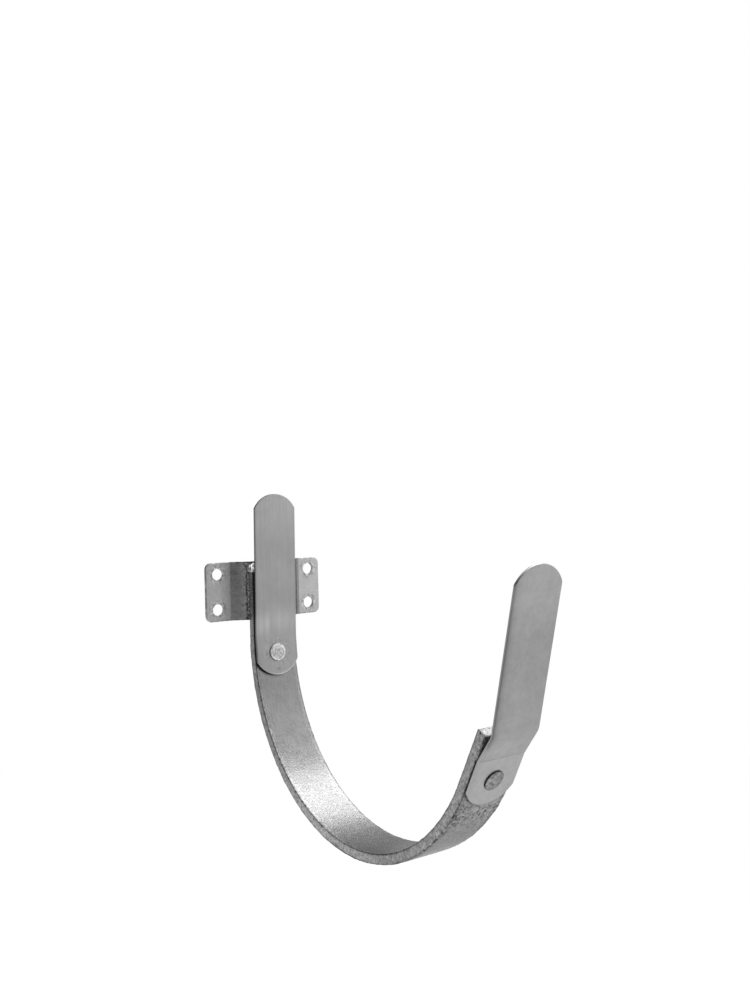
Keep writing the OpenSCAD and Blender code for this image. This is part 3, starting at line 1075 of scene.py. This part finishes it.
def rivet_spot(turned, side, up, sign):
    """Centre and outward axis of a head that sits at (side, up) in the turned side profile."""
    at = in_bed(np.array([[side, up]]), turned)[0]
    out = turn2([sign, 0], turned)
    return (0, at[0], at[1]), (0, out[0], out[1])


make_rivet("rear_rivet", "head", rivet_spot(-REAR_RIVET_ANGLE, REAR_SEAT - TONGUE_T, 0, -1),
           HEAD_D, HEAD_H, seed=1.9, flat=0.45, coarse=0.45, shaded=0.6, marks=0.7)
make_rivet("rear_rivet", "end", rivet_spot(-REAR_RIVET_ANGLE, BACK_R, 0, 1), TAIL_D, TAIL_H, seed=2.9)
make_rivet("front_rivet", "head", rivet_spot(RUN_LEAN, -BACK_R - TONGUE_T, FRONT_RIVET_UP, -1),
           HEAD_D, HEAD_H, seed=3.9, material=MAT_RIVET_FRONT, tilt=0.45, shaded=-1.0, marks=1.0)
make_rivet("front_rivet", "end", rivet_spot(RUN_LEAN, -BED_R, FRONT_RIVET_UP, 1), TAIL_D, TAIL_H, seed=4.9)


# ---- weld

def make_weld():
    """The bead across the upright's cut end: a rippled, lumpy quarter round with blunt ends."""
    leg, nose = weld_high[2] - weld_low[2], 2.6
    y0, z0 = weld_high[1], weld_low[2]
    along = BAR_W / 2 * np.sin(np.linspace(-math.pi / 2, math.pi / 2, 121))
    around = np.radians(np.linspace(0, 90, 31))
    points, dark = [], []
    for x in along:
        left = min(1.0, (BAR_W / 2 - abs(x)) / nose)
        size = leg * (0.60 + 0.40 * math.sqrt(1 - (1 - left) ** 2))
        points.append((x, y0, z0))
        dark.append(0.0)
        for a in around:
            lumps = 0.5 * wave(x, 3 * a, 0, 1.5, 2.5) + 0.35 * wave(x, 3 * a, 4, 0.7, 6.5)
            ripple = 0.16 * math.sin(2.6 * x + 1.2 * math.sin(a * 2)) + lumps
            rr = size - 0.5 + 0.8 * min(0.6, ripple) * math.sin(min(1.0, a * 1.5 + 0.25) * math.pi / 2)
            points.append((x, y0 - rr * math.cos(a), z0 + rr * math.sin(a)))
            # painted shade: dark patches at random over the bead
            dark.append(-0.9 * clip(-3.0 * wave(*points[-1], 1.7, 1.5) - 0.05))
        points.append((x, y0, z0 + size))
        dark.append(0.0)
    piece = make_mesh("weld", points, tube_faces(len(along), len(around) + 2))
    point_values(piece, "coarse", [1.0] * len(points))
    point_values(piece, "shade", dark)
    return piece


def make_seam(name, side, seed):
    """The line of zinc that fills the corner between the crown and the bar's side."""
    x0, y0 = side * BAR_W / 2, weld_high[1]
    heights = np.arange(-PLATE_H / 2 + 0.6, weld_low[2] + 0.4, 0.3)
    turns = np.radians(np.linspace(-20, 110, 9))
    points = []
    for i, z in enumerate(heights):
        ends = min(1.0, i / 3, (len(heights) - 1 - i) / 3)
        swell = 0.55 + 0.55 * wave(0, 0, z, 1.8, seed) + 0.35 * wave(0, 0, z, 0.8, seed + 2)
        rad = clip(swell, 0.12, 1.25) * max(0.25, ends)
        points.append((x0, y0 + 0.5, z))
        for a in turns:
            rr = rad * (1 + 0.35 * wave(a, 0, z, 0.9, seed + 5))
            points.append((x0 + side * rr * math.cos(a), y0 - rr * math.sin(a), z))
    piece = make_mesh(name, points, tube_faces(len(heights), len(turns) + 1))
    point_values(piece, "coarse", [1.0] * len(points))
    return piece


def make_spatter():
    """Beads of weld and zinc on the webs and the bar's sides, next to the weld."""
    random, beads = np.random.default_rng(7), 34
    bm = bmesh.new()
    slope = math.tan(math.radians(WEB_ANGLE))
    for k in range(beads):
        side = -1 if k % 2 else 1
        out = BAR_W / 2 + 1.2 + random.exponential(1.6)
        up = weld_high[2] - 0.6 - random.exponential(4.5)
        rad = 0.16 + 0.26 * random.random()
        y = weld_high[1] + max(0.0, out - BAR_W / 2 - 0.8) * slope
        if up >= -PLATE_H / 2 + 1:
            spot = Matrix.Translation(Vector((side * out, y, up)) * MM)
            bmesh.ops.create_icosphere(bm, subdivisions=2, radius=rad * MM, matrix=spot)
    mesh = bpy.data.meshes.new("spatter")
    bm.to_mesh(mesh)
    bm.free()
    piece = link_piece("spatter", mesh)
    point_values(piece, "coarse", [0.6] * len(mesh.vertices))
    return piece


dress(make_weld(), MAT_WELD, "weld_metal", "weld_bead")
dress(make_seam("seam_left", -1, 3.3), MAT_SEAM, "weld_metal")
dress(make_seam("seam_right", 1, 7.9), MAT_SEAM, "weld_metal")
dress(make_spatter(), MAT_SEAM, "weld_metal")


# ---- floor, world, lights

WHITE = (1, 1, 1, 1)
FLOOR_HALF, FLOOR_DROP = 14.0, 0.45      # metres


def sky(n, way):
    """The studio's grey in a direction: white to the right, grey overhead and far left, dark between them."""
    x, y, z = n.parts(way)
    right = n.mul(n.ramp(x, 0.25, 0.60, 0.0, 1.35), n.ramp(x, 0.70, 1.0, 1.0, 0.75))
    back = n.ramp(y, 0.1, 0.8, 1.0, 0.55)
    higher = n.ramp(z, 0.2, 0.8, 1.0, 1.3)
    left = n.mul(n.ramp(y, -0.7, 0.6, 0.0, 0.45), n.ramp(z, 0.08, 0.45, 1.0, 0.25))
    middle = n.mul(n.ramp(x, -0.40, -0.20, 0.0, 0.85), n.ramp(x, 0.08, 0.28, 1.0, 0.0))
    far_left = n.ramp(x, -0.95, -0.78, 0.75, 0.0)
    fill_light = n.math("MAXIMUM", left, n.math("MAXIMUM", middle, far_left))
    return n.mul_add(n.mul(right, back), higher, fill_light)


def floor_material(centre):
    """Plain white to the camera, with the part's shadow. Metal sees it turn into the sky's grey far away."""
    material = bpy.data.materials.new("floor")
    material.use_nodes = True
    n = Nodes(material.node_tree)
    place = n.add("ShaderNodeTexCoord").outputs["Object"]
    offset = n.vector("SUBTRACT", place, tuple(centre))
    distance = n.vector("LENGTH", offset, output="Value")
    tone = n.mul_add(n.noise(place, 30, 3), 0.02, n.ramp(distance, 0.6, 1.8, 0.96, 0.80))
    plain = n.add("ShaderNodeBsdfDiffuse", Color=n.grey(tone))
    backdrop = n.add("ShaderNodeEmission", Color=n.grey(sky(n, n.vector("NORMALIZE", offset))), Strength=1.0)
    glow = n.add("ShaderNodeEmission", Color=WHITE, Strength=0.62)
    shadow = n.add("ShaderNodeBsdfDiffuse", Color=(0.36, 0.36, 0.36, 1))
    close_by = n.add("ShaderNodeAddShader", glow.outputs[0], shadow.outputs[0])
    white = n.add("ShaderNodeEmission", Color=WHITE, Strength=1.0)
    lit = n.mix(n.ramp(distance, 3.0, 8.0), plain, backdrop)
    seen = n.mix(n.ramp(distance, 0.9, 2.2), close_by, white)
    to_camera = n.add("ShaderNodeLightPath").outputs["Is Camera Ray"]
    n.finish("ShaderNodeOutputMaterial", n.mix(to_camera, lit, seen))
    return material


def make_stage():
    """A wide floor below the hanging part."""
    centre = (np.array(CAD_BOX[0]) + np.array(CAD_BOX[1])) / 2
    height = CAD_BOX[0][2] - FLOOR_DROP
    corners = [(centre[0] + sx * FLOOR_HALF, centre[1] + sy * FLOOR_HALF, height)
               for sx, sy in ((-1, -1), (1, -1), (1, 1), (-1, 1))]
    mesh = bpy.data.meshes.new("floor")
    mesh.from_pydata(corners, [], [(0, 1, 2, 3)])
    mesh.materials.append(floor_material(centre))
    floor = bpy.data.objects.new("floor", mesh)
    bpy.context.scene.collection.objects.link(floor)


def make_world():
    """White to the camera and to matt surfaces. Metal sees the studio's grey walls."""
    world = bpy.data.worlds.new("studio")
    bpy.context.scene.world = world
    world.use_nodes = True
    n = Nodes(world.node_tree)
    way = n.add("ShaderNodeTexCoord").outputs["Generated"]
    white = n.add("ShaderNodeBackground", Color=WHITE, Strength=1.0)
    walls = n.add("ShaderNodeBackground", Color=n.grey(sky(n, way)), Strength=1.0)
    to_metal = n.add("ShaderNodeLightPath").outputs["Is Glossy Ray"]
    n.finish("ShaderNodeOutputWorld", n.mix(to_metal, white, walls))


def softbox(name, way, distance, width, height, radiance):
    """An area light, in metres, seen from just below the bed's centre in the direction way."""
    aim = Vector((0, BED_Y * MM, BED_Z * MM - 0.02))
    way = Vector(way).normalized()
    data = bpy.data.lights.new(name, "AREA")
    data.shape = "RECTANGLE"
    data.size, data.size_y = width, height
    data.energy = radiance * math.pi * width * height
    lamp = bpy.data.objects.new(name, data)
    lamp.location = aim + way * distance
    lamp.rotation_mode = "QUATERNION"
    lamp.rotation_quaternion = way.to_track_quat("Z", "Y")
    bpy.context.scene.collection.objects.link(lamp)


make_stage()
make_world()
softbox("top_box", (0.51, 0.22, 0.83), distance=1.2, width=0.70, height=0.95, radiance=2.95)

bpy.context.scene.view_settings.view_transform = "Standard"
